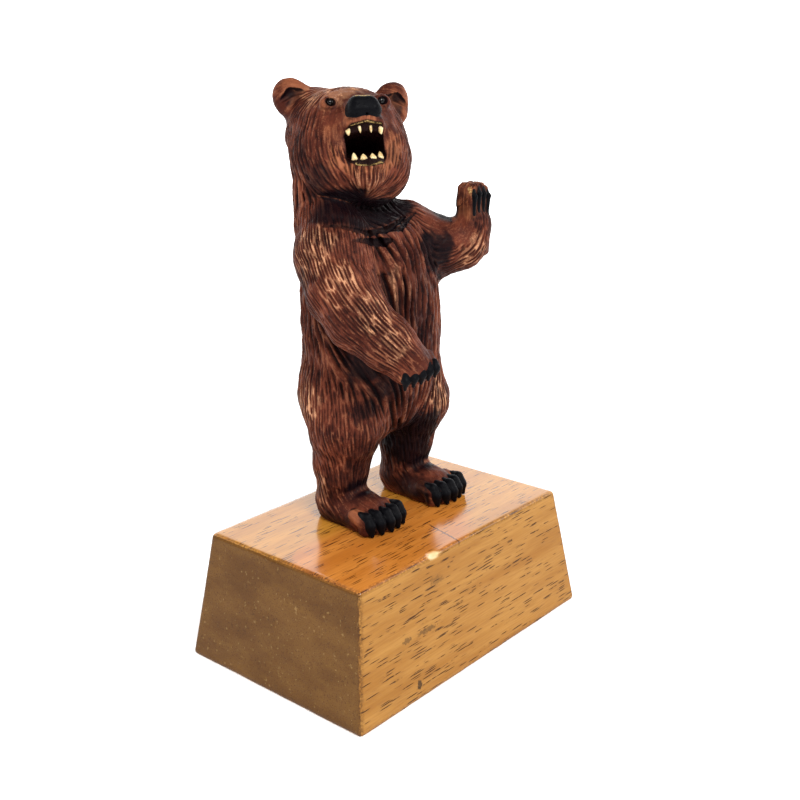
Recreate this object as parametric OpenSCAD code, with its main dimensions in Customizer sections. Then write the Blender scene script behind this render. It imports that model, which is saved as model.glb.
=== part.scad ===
// Carved standing bear on a tapered wooden plinth.
// Millimetres, +Z up. The origin is the centre of the plinth's underside.
// The bear faces -Y, so its right side is at -X.

/* [Plinth] */
// Width of the top face, along X
plinth_top_w = 100; // [90:1:120]
// Depth of the top face, along Y
plinth_top_d = 66; // [64:1:80]
// How far each end leans out at the bottom
plinth_end_lean = 7; // [0:0.5:12]
// How far the front and the back lean out at the bottom
plinth_side_lean = 5.5; // [0:0.5:12]
// Height of the block
plinth_h = 43; // [36:1:46]
// Radius of its softened edges
plinth_edge_r = 1.5; // [0.5:0.1:3]

/* [Bear] */
// Half the distance between the legs' centrelines
stance = 16; // [15.5:0.5:17]
// How far the head turns to the bear's right, in degrees
head_turn = 29; // [10:1:40]
// How far the muzzle lifts, in degrees
head_tilt = 28; // [15:1:35]

/* [Eyes] */
// Diameter of each glass bead
eye_d = 2.6; // [2.2:0.1:3]
// Length of the wire shank fused to the bead
shank_l = 7; // [4:0.5:8]
// Diameter of the shank
shank_d = 0.8; // [0.6:0.1:1]

/* [Teeth] */
// How far a canine stands out of the gum
canine_h = 2.6; // [2:0.1:3.2]
// How far an incisor stands out of the gum
incisor_h = 2.1; // [1.5:0.1:2.6]
// How deep each tooth's root is set in the wood
root_h = 1.6; // [1:0.1:2]

/* [Screws] */
// Overall length of each wood screw
screw_l = 60; // [52:1:62]
// Diameter over the thread
screw_d = 4; // [3.5:0.5:4.5]
// Diameter of the countersunk head
screw_head_d = 8; // [7:0.5:9]
// Distance from one thread crest to the next
thread_pitch = 1.8; // [1.5:0.1:2.5]

/* [Hidden] */

RIGHT = -1;                      // sides as signs along X
LEFT = 1;
mid_x = 3.5;                     // the bear stands a little to its left of centre
ankle_y = 10;                    // centreline of both shins, and of the screws
head_at = [-1.4, 12.4, 121];     // centre of the head, above the plinth's top
clearance = 0.06;                // gap left round each piece set in the wood
smooth = 20;                     // facets round a body blob
round_fn = 14;                   // facets round a limb
small_fn = 8;                    // facets round a toe, a finger or a claw

// ---------- shapes that repeat ----------

// An ellipsoid with its centre and its three radii.
module blob(at, r, fn = smooth) translate(at) scale(r) sphere(1, $fn = fn);

// A tapering round limb through points [x, y, z, radius].
module limb(points, fn = round_fn)
    for (i = [1 : len(points) - 1])
        hull() for (p = [points[i - 1], points[i]])
            translate([p.x, p.y, p.z]) sphere(p[3], $fn = fn);

// Neighbouring ellipsoids [centre, radii] joined one to the next.
module chain(blobs)
    for (i = [1 : len(blobs) - 1])
        hull() for (b = [blobs[i - 1], blobs[i]]) blob(b[0], b[1]);

// Children are placed in the head's own frame: origin at its centre, face to -Y.
module at_head()
    translate([0, 0, plinth_h] + head_at)
        rotate([0, 0, -head_turn]) rotate([-head_tilt, 0, 0]) children();

// ---------- the plinth ----------

// A sphere's outermost rings lie half a step inside its radius, so the corners are drawn larger by that.
module plinth_block() {
    ball = plinth_edge_r / cos(180 / smooth);
    hull() for (sx = [-1, 1], sy = [-1, 1]) {
        translate([sx * (plinth_top_w / 2 + plinth_end_lean - plinth_edge_r),
                   sy * (plinth_top_d / 2 + plinth_side_lean - plinth_edge_r),
                   plinth_edge_r]) sphere(ball, $fn = smooth);
        translate([sx * (plinth_top_w / 2 - plinth_edge_r),
                   sy * (plinth_top_d / 2 - plinth_edge_r),
                   plinth_h - plinth_edge_r]) sphere(ball, $fn = smooth);
    }
}

module plinth() color("burlywood") difference() {
    plinth_block();
    for (side = [RIGHT, LEFT]) at_screw(side) screw_hole();
}

// ---------- the screws, driven up through the plinth into the shins ----------

head_h = (screw_head_d - screw_d) / 2;      // a 90 degree countersink
head_rim = 0.3;                             // height of the head's cylindrical rim
head_recess = 0.4;                          // the heads sit this far inside the underside
hole_gap = 0.2;                             // room round a screw in the plinth
core_r = screw_d / 2 * 0.72;                // radius between the threads
thread_from = screw_l * 0.42;               // plain shank below this height
tip_h = 5;
slot_w = 1.2;

module at_screw(side) translate([mid_x + side * stance, ankle_y, head_recess]) children();

// Drawn where the screw is, so it starts below the head to open at the underside.
module screw_hole() {
    shank_r = screw_d / 2 + hole_gap;
    rim_r = screw_head_d / 2 + hole_gap;
    cylinder(r = shank_r, h = plinth_h + 1, $fn = smooth);
    translate([0, 0, head_rim]) cylinder(r1 = rim_r, r2 = shank_r, h = head_h, $fn = smooth);
    translate([0, 0, -1]) cylinder(r = rim_r, h = 1 + head_rim, $fn = smooth);
}

function thread_ridge(z) = [
    [core_r, z], [screw_d / 2, z + thread_pitch * 0.35],
    [screw_d / 2, z + thread_pitch * 0.45], [core_r, z + thread_pitch * 0.6]
];

module screw() {
    turns = floor((screw_l - tip_h - thread_from) / thread_pitch);
    profile = concat(
        [[0, 0], [screw_head_d / 2 - head_rim, 0], [screw_head_d / 2, head_rim],
         [screw_d / 2, head_h + head_rim], [screw_d / 2, thread_from - 1]],
        [for (t = [0 : turns - 1]) each thread_ridge(thread_from + t * thread_pitch)],
        [[core_r, screw_l - tip_h], [0, screw_l]]);
    difference() {
        rotate_extrude($fn = smooth) polygon(profile);
        translate([-screw_head_d, -slot_w / 2, -1]) cube([2 * screw_head_d, slot_w, 1 + slot_w]);
    }
}

// ---------- the carving ----------

module trunk() chain([
    [[mid_x - 0.3, 10, 43], [24.6, 20, 16]],
    [[mid_x - 0.3, 9, 60], [25.6, 19.5, 16]],
    [[mid_x - 1, 9, 80], [25, 19, 16]],
    [[-1, 13, 98], [19.5, 17, 12]],
    [[-2, 13, 111], [19.5, 16.5, 10]]
]);

module leg(side) {
    x = mid_x + side * stance;
    hip_z = side == RIGHT ? 41.5 : 43;                       // the right hip hangs lower
    limb([[x - side * 1.5, 10, hip_z, 14.2], [x + side * 0.4, 6.5, 34, 12.3],
          [x + side * 0.3, 9, 20, 8.8], [x, 10.5, 8, 8]]);
}

module foot(side) {
    x = mid_x + side * stance;
    hull() {
        blob([x, 11.5, 4.5], [7, 6.5, 5.5]);
        blob([x, -2, 4], [8.6, 8, 5]);
    }
    for (i = [-2 : 2]) {                                     // five toes, each ending in a claw
        tx = x + i * 3.4;
        ty = -9.5 + abs(i) * 0.9;
        hull() {
            blob([tx, ty + 5, 5], [2, 3, 2.6], small_fn);
            blob([tx, ty, 3], [1.9, 2.2, 2.6], small_fn);
        }
        hull() {
            blob([tx, ty - 1, 4], [0.9, 1, 0.9], small_fn);
            blob([tx, ty - 3, 1.6], [0.5, 0.6, 0.9], small_fn);
        }
    }
}

module right_arm() {
    limb([[-16, 8, 93, 12.5], [-21, 1, 82, 11.2], [-23, -8, 73, 9.6],
          [-19, -19, 65, 7.8], [-16, -24.5, 61, 6.8], [-13.5, -27, 58.5, 5.4]]);
    for (i = [0 : 4])                                        // claws along the paw's lower edge
        hull() {
            blob([-19.5 + i * 1.9, -28.2 - i * 0.5, 57.5 + i * 0.5], [1.1, 1.6, 1.1], small_fn);
            blob([-19 + i * 1.9, -29.5 - i * 0.5, 54.2 + i * 0.5], [0.7, 0.9, 0.9], small_fn);
        }
}

module left_arm() {
    limb([[19, 8, 90, 12.6], [27, 1, 86.3, 10.4], [33.5, -5, 86.3, 8.0],
          [35.3, -7, 93, 7], [36, -7, 98, 6]]);
    for (i = [-1.5 : 1.5])                                   // fingers, held together
        limb([[36 - i, -7 + i * 2.2, 98, 3.4],
              [35.8 - i, -7.3 + i * 1.8, 104.8 - abs(i) * 0.8, 2.2]], small_fn);
}

// The open mouth, in the head's frame: a wedge between the throat, the corners, the gum and the lower lip.
mouth_half_w = 6.2;
lip_corner = [0, -8, -4.5];
roof_edge = [0, -24, -2.2];
floor_edge = [0, -21, -14];

module mouth_hollow() hull() {
    blob([0, -2, -6], [4.5, 2, 3]);
    for (side = [RIGHT, LEFT], edge = [lip_corner, roof_edge, floor_edge])
        blob(edge + [side * (mouth_half_w - 1), 0, 0], [1, 1, 1], small_fn);
}

// The ears are not a pair: the right one stands higher and nearer the middle.
module ear(side) {
    at = side == RIGHT ? [-13.8, 4, 16.6] : [16.2, 4, 14.3];
    translate(at) rotate([10, side * 38, -side * 15]) difference() {
        blob([0, 0, 0], [6.4, 3.8, 8.4]);
        blob([0, -3.4, 0.5], [3.8, 2.5, 5.2], small_fn);
    }
}

module head_wood() {
    blob([0, 0.5, 2.5], [18.8, 16.5, 15.4]);
    hull() {                                                 // the crown, higher on the right
        blob([-6, 6, 7], [11, 10, 13.2]);
        blob([6, 6, 7], [11, 10, 12]);
    }
    chain([[[0, 2, -6], [19.2, 15, 15]], [[0, 3, -12], [17, 13, 11]]]);
    hull() {                                                 // muzzle
        blob([0, -10, 1], [8.5, 5, 7.5]);
        blob([0, -18.5, 1.5], [6.6, 4.5, 4.6]);
    }
    blob([0, -21, 3.3], [5.2, 3, 3.2]);                      // nose
    hull() {                                                 // lower jaw
        blob([0, -6, -11.5], [8.5, 6, 6]);
        blob([0, -14.6, -13.2], [6.6, 3.6, 3.9]);
    }
    for (side = [RIGHT, LEFT]) ear(side);
}

module bear_carving() color("sienna") difference() {
    union() {
        translate([0, 0, plinth_h]) {
            trunk();
            for (side = [RIGHT, LEFT]) { leg(side); foot(side); }
            right_arm();
            left_arm();
        }
        at_head() head_wood();
    }
    translate([-100, -100, -plinth_h]) cube([200, 200, 2 * plinth_h]);     // flat soles
    at_head() mouth_hollow();
    for (side = [RIGHT, LEFT]) {
        at_eye(side) { eye_bead(clearance); eye_shank(clearance); }
        at_screw(side) translate([0, 0, plinth_h - 1])
            cylinder(r = screw_d / 2 + clearance, h = screw_l - plinth_h + 1.5, $fn = smooth);
    }
    for (t = TEETH) tooth_solid(t, clearance);
}

// ---------- eyes ----------

module at_eye(side) at_head() translate([side * 8.2, -12.4, 8.4]) rotate([75, 0, side * 22]) children();

// The bead's front points along +Z here, and its shank along -Z.
module eye_bead(gap = 0) sphere(eye_d / 2 + gap, $fn = smooth);

module eye_shank(gap = 0)
    translate([0, 0, -eye_d / 2 - shank_l - gap + 0.1])
        cylinder(r = shank_d / 2 + gap, h = shank_l + gap, $fn = round_fn);

// ---------- teeth ----------

// Each tooth: [x, y, z at the gum, radius, height, -1 hanging or 1 standing], in the head's frame.
TEETH = [
    [-5.2, -15.5, -2.0, 1.05, canine_h, -1], [-1.75, -16.8, -1.9, 0.75, incisor_h, -1],
    [1.75, -16.8, -1.9, 0.75, incisor_h, -1], [5.2, -15.5, -2.0, 1.05, canine_h, -1],
    [-4.2, -14, -10.7, 1.0, canine_h, 1], [-1.5, -14.8, -10.4, 1.0, incisor_h, 1],
    [1.5, -14.8, -10.4, 1.0, incisor_h, 1], [4.2, -14, -10.7, 1.0, canine_h, 1]
];

module at_tooth(t) at_head() translate([t.x, t.y, t.z]) scale([1, 1, t[5]]) children();

module tooth_solid(t, gap = 0) at_tooth(t) {
    translate([0, 0, -root_h - gap]) cylinder(r = t[3] * 0.8 + gap, h = root_h + 1, $fn = round_fn);
    cylinder(r1 = t[3] + gap, r2 = t[3] * 0.4 + gap, h = t[4], $fn = round_fn);
}

module tooth(t) color("ivory") tooth_solid(t);

plinth();
bear_carving();
color("black") at_eye(RIGHT) eye_bead();  // right_eye_bead
color("black") at_eye(LEFT) eye_bead();  // left_eye_bead
color("dimgray") at_eye(RIGHT) eye_shank();  // right_eye_shank
color("dimgray") at_eye(LEFT) eye_shank();  // left_eye_shank
tooth(TEETH[0]);  // upper_right_canine
tooth(TEETH[1]);  // upper_right_incisor
tooth(TEETH[2]);  // upper_left_incisor
tooth(TEETH[3]);  // upper_left_canine
tooth(TEETH[4]);  // lower_right_canine
tooth(TEETH[5]);  // lower_right_incisor
tooth(TEETH[6]);  // lower_left_incisor
tooth(TEETH[7]);  // lower_left_canine
color("silver") at_screw(RIGHT) screw();  // right_leg_screw
color("silver") at_screw(LEFT) screw();  // left_leg_screw
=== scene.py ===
"""A carved, stained bear standing on a varnished block of pale wood.

The bear is sculpted as a distance field in millimetres, with its origin at the middle of the plinth's
top. The field is meshed, and the fur is then cut into the mesh stroke by stroke, as a gouge would.
"""
import math

import bpy
import numpy as np
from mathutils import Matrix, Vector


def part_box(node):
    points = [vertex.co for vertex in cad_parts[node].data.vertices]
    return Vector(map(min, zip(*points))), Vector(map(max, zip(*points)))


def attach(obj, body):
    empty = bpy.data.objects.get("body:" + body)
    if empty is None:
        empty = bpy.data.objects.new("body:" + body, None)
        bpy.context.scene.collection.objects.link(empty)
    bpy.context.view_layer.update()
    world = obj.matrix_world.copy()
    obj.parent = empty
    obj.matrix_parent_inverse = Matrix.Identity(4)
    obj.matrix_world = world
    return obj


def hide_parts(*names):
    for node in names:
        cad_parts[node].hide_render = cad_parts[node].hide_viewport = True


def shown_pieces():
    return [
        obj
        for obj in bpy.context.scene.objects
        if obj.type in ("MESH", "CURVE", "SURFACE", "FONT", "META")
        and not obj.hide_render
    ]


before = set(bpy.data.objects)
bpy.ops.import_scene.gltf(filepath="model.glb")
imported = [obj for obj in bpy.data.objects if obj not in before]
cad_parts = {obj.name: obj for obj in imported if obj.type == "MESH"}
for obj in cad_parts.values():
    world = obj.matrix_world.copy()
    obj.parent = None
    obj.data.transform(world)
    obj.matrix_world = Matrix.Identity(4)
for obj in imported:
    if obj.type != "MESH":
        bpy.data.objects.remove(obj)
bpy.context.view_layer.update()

import openvdb
from mathutils import Matrix, Vector
from mathutils.kdtree import KDTree

MM = 0.001
PLINTH_LOW, PLINTH_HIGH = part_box("plinth")
TOP = PLINTH_HIGH.z / MM                      # height of the plinth's top face, in mm
FOOT_HALF = np.array([PLINTH_HIGH.x, PLINTH_HIGH.y]) / MM   # half the plinth's size at the bottom
TOP_HALF = np.array([50.0, 33.0])             # and at the top
EDGE_R = 1.2                                  # radius of its softened edges
PLINTH_CELL = 0.8                             # edge of its mesh
RIGHT, LEFT = -1, 1                           # the bear's own sides, as signs along X
MID_X = 3.5                                   # the bear stands a little to its left of centre
STANCE = 16.0
HEAD_AT = np.array([-1.4, 12.4, 121.0])
HEAD_TURN, HEAD_TILT = math.radians(29), math.radians(28)
CELL = 0.62                                   # edge of the first mesh; the final one is half of it
rng = np.random.default_rng(7)


# ---------- distance fields: negative inside, in millimetres ----------

def length(v):
    return np.sqrt((v * v).sum(-1))


def ellipsoid(p, at, r):
    q = p - np.array(at, float)
    r = np.array(r, float)
    near, far = length(q / r), length(q / (r * r))
    return near * (near - 1) / np.maximum(far, 1e-5)


def bone(p, a, b):
    """A rounded cone between two points [x, y, z, radius]."""
    a, b = np.array(a, float), np.array(b, float)
    ab = b[:3] - a[:3]
    t = np.clip((p - a[:3]) @ ab / (ab @ ab), 0, 1)
    return length(p - a[:3] - t[:, None] * ab) - (a[3] + (b[3] - a[3]) * t)


def join(a, b, k):
    h = np.maximum(k - np.abs(a - b), 0) / k
    return np.minimum(a, b) - h * h * k / 4


def cut(a, b, k):
    return -join(-a, b, k)


def limb(p, points, k=2.0):
    d = bone(p, points[0], points[1])
    for a, b in zip(points[1:], points[2:]):
        d = join(d, bone(p, a, b), k)
    return d


def limbs(p, lines, k):
    """The nearest of several limbs, which stay separate."""
    return np.minimum.reduce([limb(p, line, k) for line in lines])


def turned(p, at, x=0.0, y=0.0, z=0.0):
    """p seen from a frame placed at `at` and turned by these degrees about X, then Y, then Z."""
    m = (Matrix.Rotation(math.radians(z), 3, "Z") @ Matrix.Rotation(math.radians(y), 3, "Y")
         @ Matrix.Rotation(math.radians(x), 3, "X"))
    return (p - np.array(at, float)) @ np.array(m)


def smoothstep(x, low, high):
    t = np.clip((x - low) / (high - low), 0, 1)
    return t * t * (3 - 2 * t)


HEAD_AXES = np.array(Matrix.Rotation(-HEAD_TURN, 3, "Z") @ Matrix.Rotation(-HEAD_TILT, 3, "X"))


def to_head(p):
    return (p - HEAD_AT) @ HEAD_AXES


def from_head(q):
    return np.asarray(q, float) @ HEAD_AXES.T + HEAD_AT


# ---------- the bear's masses ----------

# Height, centre x, centre y, half width and half depth of the trunk's section.
TRUNK = np.array([
    [24, 3.5, 11.0, 9.0, 8.0], [30, 3.5, 11.0, 18.0, 15.0], [38, 3.4, 10.5, 22.8, 18.5],
    [48, 3.2, 9.8, 25.2, 20.0], [60, 3.3, 9.0, 26.0, 20.0], [75, 3.0, 9.0, 25.6, 19.4],
    [87, 1.8, 9.6, 24.0, 18.6], [95, 0.6, 10.8, 22.4, 17.4], [98, -0.2, 12.8, 21.4, 15.6],
    [101, -1.0, 15.8, 19.8, 12.2], [104, -1.6, 16.4, 18.8, 11.2], [112, -2.2, 16.0, 18.0, 11.0],
    [128, -2.4, 14.5, 15.0, 11.0]])
CROTCH_Z, NAPE_Z = 26.5, 118                     # where the trunk is cut off below and inside the head


def trunk(p):
    z = p[:, 2]
    fine = np.arange(20, 130, 1.0)
    soft = np.array([math.exp(-(i / 2.5) ** 2) for i in range(-6, 7)])
    soft /= soft.sum()
    cx, cy, rx, ry = (
        np.interp(z, fine, np.convolve(np.pad(np.interp(fine, TRUNK[:, 0], TRUNK[:, c]), 6, "edge"),
                                       soft, "valid")) for c in (1, 2, 3, 4))
    x, y = p[:, 0] - cx, p[:, 1] - cy
    near = np.hypot(x / rx, y / ry)
    far = np.hypot(x / rx ** 2, y / ry ** 2)
    d = near * (near - 1) / np.maximum(far, 1e-5)
    d = cut(d, z - CROTCH_Z, 6.0)
    return cut(d, NAPE_Z - z, 3.0)


def leg(p, side):
    x = MID_X + side * STANCE
    hip_z = 41.5 if side == RIGHT else 43.0          # the right hip hangs lower
    return limb(p, [[x - side * 1.5, 10, hip_z, 14.2], [x + side * 0.4, 6.5, 34, 12.4],
                    [x + side * 0.3, 9.2, 20, 8.9], [x, 10.6, 7, 8.0]], 3.0)


def toe_spots(side):
    """Each toe's knuckle and tip, from the innermost to the outermost."""
    x = MID_X + side * STANCE
    for i in range(-2, 3):
        back = 0.38 * i * i + (0.5 if i * side > 0 else 0)
        yield (x + side * 0.3 + i * 3.3, -4.6 + back), (x + side * 0.3 + i * 3.6, -9.6 + back)


def foot(p, side):
    x = MID_X + side * STANCE
    d = ellipsoid(p, [x, 11.0, 4.5], [7.6, 7.8, 8.0])
    d = join(d, ellipsoid(p, [x, 3.5, 4.0], [8.0, 10.0, 7.4]), 3.0)
    d = join(d, ellipsoid(p, [x, -3.0, 3.4], [9.0, 7.0, 5.6]), 2.5)
    for knuckle, tip in toe_spots(side):
        toe = limb(p, [[*knuckle, 5.6, 2.4], [*tip, 4.6, 2.5], [tip[0], tip[1] - 0.2, 2.2, 2.4]], 0.8)
        d = join(d, toe, 0.5)
    return d


def foot_claws(p, side):
    return limbs(p, [[[x, y + 1.8, 7.0, 0.9], [x, y - 0.6, 6.4, 1.25], [x, y - 2.2, 4.0, 1.3],
                      [x, y - 2.8, 1.0, 0.8]] for _, (x, y) in toe_spots(side)], 2.0)


# From the shoulder to the wrist: x, y, z, radius.
RIGHT_ARM = [[-12.5, 10, 97, 11.0], [-17.8, 5, 89, 11.6], [-21.2, -1.5, 80, 10.8], [-22.6, -9, 72.8, 9.6],
             [-19.4, -18, 65.5, 8.0], [-17.2, -22.5, 61.5, 7.0]]
LEFT_ARM = [[18.5, 8, 90, 12.0], [26, 1.6, 86.2, 10.2], [33.2, -5, 86.6, 7.6], [35.6, -7, 92, 6.6]]


def right_arm(p):
    d = limb(p, RIGHT_ARM, 3.0)
    q = turned(p, [-15.6, -24.8, 58.6], x=20, z=-14)
    return join(d, ellipsoid(q, [0, 0, 0], [6.6, 4.8, 5.6]), 2.5)


def right_claw_spots():
    for i in range(5):
        yield np.array([-21.4 + i * 2.5, -26.4 - i * 0.8 + 0.1 * (i - 2) ** 2, 56.8 + i * 0.6])


def right_fingers(p):
    return limbs(p, [[[*(at + [0.6, 3.0, 2.2]), 1.9], [*at, 1.55]] for at in right_claw_spots()], 0.8)


def right_claws(p):
    return limbs(p, [[[*(at + [-0.1, -0.7, 1.3]), 0.8], [*(at + [-0.3, -1.2, -0.8]), 1.1],
                      [*(at + [-0.3, -0.7, -3.4]), 0.5]] for at in right_claw_spots()], 1.0)


def rounded_box(p, half, r):
    q = np.abs(p) - np.asarray(half) + r
    return length(np.maximum(q, 0)) + np.minimum(q.max(-1), 0) - r


PAW_AT = np.array([35.5, -7.5, 95.0])            # middle of the raised paw, which is cut like a mitten


def left_arm(p):
    d = limb(p, LEFT_ARM, 3.0)
    q = p - PAW_AT
    width = 5.2 - 0.035 * q[:, 2]
    slab = rounded_box(np.stack([q[:, 0] * 5.2 / width, q[:, 1], q[:, 2]], 1), [5.2, 3.3, 12.2], 1.2)
    slab = np.maximum(slab, (q[:, 0] * 0.66 + q[:, 2] * 0.75) - 10.6)          # outer top corner
    slab = np.maximum(slab, (-q[:, 0] * 0.6 + q[:, 2] * 0.8) - 11.3)           # inner top corner
    slab = np.maximum(slab, (q[:, 0] * 0.72 + q[:, 1] * 0.69) - 4.6)           # back edge
    return join(d, slab, 2.0)


def left_claw_spots():
    for i in range(4):
        yield PAW_AT + [-3.4 + i * 2.45, -3.3, 9.4 - 0.45 * (i - 1.3) ** 2]


def left_fingers(p):
    return limbs(p, [[[*(at + [0, 1.6, -11]), 1.6], [*(at + [0, 1.4, 0]), 1.5]]
                     for at in left_claw_spots()], 0.8)


def left_claws(p):
    return limbs(p, [[[*(at + [0, 0.7, 1.2]), 0.6], [*(at + [0, -0.4, -0.6]), 0.75],
                      [*(at + [-0.2, 0, -6.4]), 0.45]] for at in left_claw_spots()], 0.6)


def all_claws(p):
    return np.minimum.reduce([foot_claws(p, RIGHT), foot_claws(p, LEFT), right_claws(p), left_claws(p)])


# ---------- the head, in its own frame: x to the bear's left, y backwards, z up ----------

def ear(q, side):
    at = [-13.5, 4.5, 16.8] if side == RIGHT else [16.9, 4.5, 13.9]
    e = turned(q, at, x=12, y=side * 34, z=side * 16)
    d = ellipsoid(e, [0, 0, 0], [6.4, 3.9, 8.5 if side == RIGHT else 9.0])
    dish = ellipsoid(e, [side * 0.3, -4.6, -1.4], [4.7, 2.4, 4.9])
    slot = limb(e, [[side * 4.2, -2.9, 3.0, 0.7], [0, -3.6, 2.9, 1.5], [-side * 3.2, -3.2, 0.2, 0.9]], 0.8)
    return cut(cut(d, dish, 0.8), slot, 0.5)


MOUTH_HALF_W = 6.2


def mouth(q):
    """The open mouth: a wedge between the jaws that closes at the corners of the lips, hollow behind."""
    roof = q[:, 2] - (-1.4 - 0.14 * (q[:, 1] + 18))
    floor = (-11.6 + 0.72 * (q[:, 1] + 14)) - q[:, 2]
    sides = np.abs(q[:, 0]) - (MOUTH_HALF_W + 0.10 * (q[:, 1] + 12))
    d = -join(-np.maximum(roof, floor), -sides, 1.4)
    return np.minimum(d, ellipsoid(q, [0, -9.0, -6.2], [4.9, 6.5, 4.4]))


# Rows of [x, y, z, radius] round the mouth, in the head's frame.
UPPER_GUM = [[-5.3, -12, -1.6, 1.1], [-4.0, -15.2, -1.6, 1.1], [0, -16.4, -1.5, 1.1],
             [4.0, -15.2, -1.6, 1.1], [5.3, -12, -1.6, 1.1]]
LOWER_GUM = [[-5.0, -10.6, -10.6, 1.2], [-3.8, -13.6, -11.3, 1.2], [0, -14.6, -11.6, 1.2],
             [3.8, -13.6, -11.3, 1.2], [5.0, -10.6, -10.6, 1.2]]
LOWER_LIP = [[-5.4, -11.0, -12.0, 1.1], [-3.4, -14.6, -13.2, 1.15], [0, -15.9, -13.5, 1.2],
             [3.4, -14.6, -13.2, 1.15], [5.4, -11.0, -12.0, 1.1]]
UPPER_LIP = [[-6.0, -12.8, -0.9, 1.5], [-4.4, -17.2, -0.6, 1.5], [0, -18.6, -0.5, 1.5],
             [4.4, -17.2, -0.6, 1.5], [6.0, -12.8, -0.9, 1.5]]


def nose(q):
    """A block that narrows and leans back towards its top."""
    z = q[:, 2] - 4.0
    width = 5.1 - 0.25 * z
    block = np.stack([q[:, 0] * 5.1 / width, q[:, 1] + 18.3 - 0.14 * z, z], 1)
    return rounded_box(block, [5.1, 3.2, 3.5], 2.8)


def head(q):
    d = ellipsoid(q, [0, 1.0, 3.0], [18.0, 16.0, 15.0])
    for s in (-1, 1):
        d = join(d, ellipsoid(q, [s * 6.6, 6, 7.6], [11, 10, 12.8 if s == LEFT else 14.2]), 4.0)
        d = join(d, ellipsoid(q, [s * 6.2, 0.5, -4.8], [12.5 if s == LEFT else 13.2, 14.6, 13.8]), 3.0)
    d = join(d, ellipsoid(q, [0, 0.5, -11.4], [15.2, 13.2, 8.2]), 4.0)
    d = join(d, bone(q, [0, -8, 1.4, 8.4], [0, -14.0, 1.6, 6.3]), 3.0)           # muzzle
    d = join(d, limb(q, UPPER_LIP, 1.0), 1.0)
    d = join(d, nose(q), 0.6)
    d = join(d, bone(q, [0, -5, -12.0, 7.0], [0, -10.4, -13.4, 5.4]), 3.0)       # lower jaw
    d = join(d, limb(q, LOWER_LIP, 1.0), 1.0)
    d = np.maximum(d, -mouth(q))
    d = join(d, limbs(q, (UPPER_GUM, LOWER_GUM), 1.0), 0.4)
    for s in (-1, 1):
        d = join(d, ear(q, s), 1.6)
        d = join(d, ellipsoid(q, [s * 8.3, -12.2, 8.2], [3.0, 2.2, 2.4]), 1.0)   # lids
        d = cut(d, ellipsoid(q, [s * 8.3, -14.4, 8.1], [1.65, 1.8, 1.45]), 0.6)  # round the bead
    lip_line = limb(q, [[-5.2, -16.4, 0.5, 0.3], [0, -20.2, 0.7, 0.3], [5.2, -16.4, 0.5, 0.3]], 0.5)
    return cut(d, lip_line, 0.3)


# ---------- everything together ----------

PARTS = ["trunk", "right_leg", "left_leg", "right_foot", "left_foot", "right_arm", "left_arm", "head"]
REACH = {                                        # a ball round each part: centre, radius
    "trunk": ([3, 10, 72], 64), "right_leg": ([-13, 9, 27], 38), "left_leg": ([20, 9, 27], 38),
    "right_foot": ([-12.5, 1, 4], 18), "left_foot": ([19.5, 1, 4], 18),
    "right_arm": ([-18, -8, 76], 40), "left_arm": ([28, -2, 93], 32), "head": ([-2, 10, 121], 36)}


def hand_right(p):
    d = join(right_arm(p), right_fingers(p), 0.8)
    return join(d, right_claws(p), 0.3)


def hand_left(p):
    d = join(left_arm(p), left_fingers(p), 0.8)
    return join(d, left_claws(p), 0.3)


SHAPES = {
    "trunk": trunk,
    "right_leg": lambda p: leg(p, RIGHT), "left_leg": lambda p: leg(p, LEFT),
    "right_foot": lambda p: join(foot(p, RIGHT), foot_claws(p, RIGHT), 0.3),
    "left_foot": lambda p: join(foot(p, LEFT), foot_claws(p, LEFT), 0.3),
    "right_arm": hand_right, "left_arm": hand_left, "head": lambda p: head(to_head(p))}
# How softly each part runs into the ones before it.
SOFTNESS = {"right_leg": 5.0, "left_leg": 5.0, "right_foot": 2.2, "left_foot": 2.2,
            "right_arm": 2.6, "left_arm": 4.0, "head": 0.3}
NEARBY = 6.0                                     # a part is worked out only this close to its ball


def part_distances(p):
    out = {}
    for name in PARTS:
        centre, radius = REACH[name]
        away = length(p - np.array(centre, float)) - radius
        d = np.maximum(away, NEARBY)
        close = away < NEARBY
        if close.any():
            d[close] = SHAPES[name](p[close])
        out[name] = d
    return out


TETRAHEDRON = np.array([[1, -1, -1], [-1, -1, 1], [-1, 1, -1], [1, 1, 1]], float)
RUFF_TUCK, RUFF_REACH = 2.6, 4.0                 # how far the chest draws in below the ruff, and over what


def gradient(field, p, step=0.15):
    """The direction in which a field grows, from four samples round each point."""
    g = np.zeros_like(p)
    for corner in TETRAHEDRON:
        g += corner * field(p + corner * step)[:, None]
    return g / np.maximum(length(g)[:, None], 1e-9)


def body(p, parts=None):
    """Everything below the head."""
    parts = parts or part_distances(p)
    d = parts["trunk"]
    for name in PARTS[1:-1]:
        d = join(d, parts[name], SOFTNESS[name])
    front = smoothstep(-p[:, 1], -9, 0)
    return d + RUFF_TUCK * front * np.exp(-(np.maximum(parts["head"], 0) / RUFF_REACH) ** 2)


def laid(line):
    """A line of [x, y, z, radius], moved onto the body's surface."""
    line = np.array(line, float)
    for _ in range(5):
        line[:, :3] -= gradient(body, line[:, :3]) * body(line[:, :3])[:, None]
    return line


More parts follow.
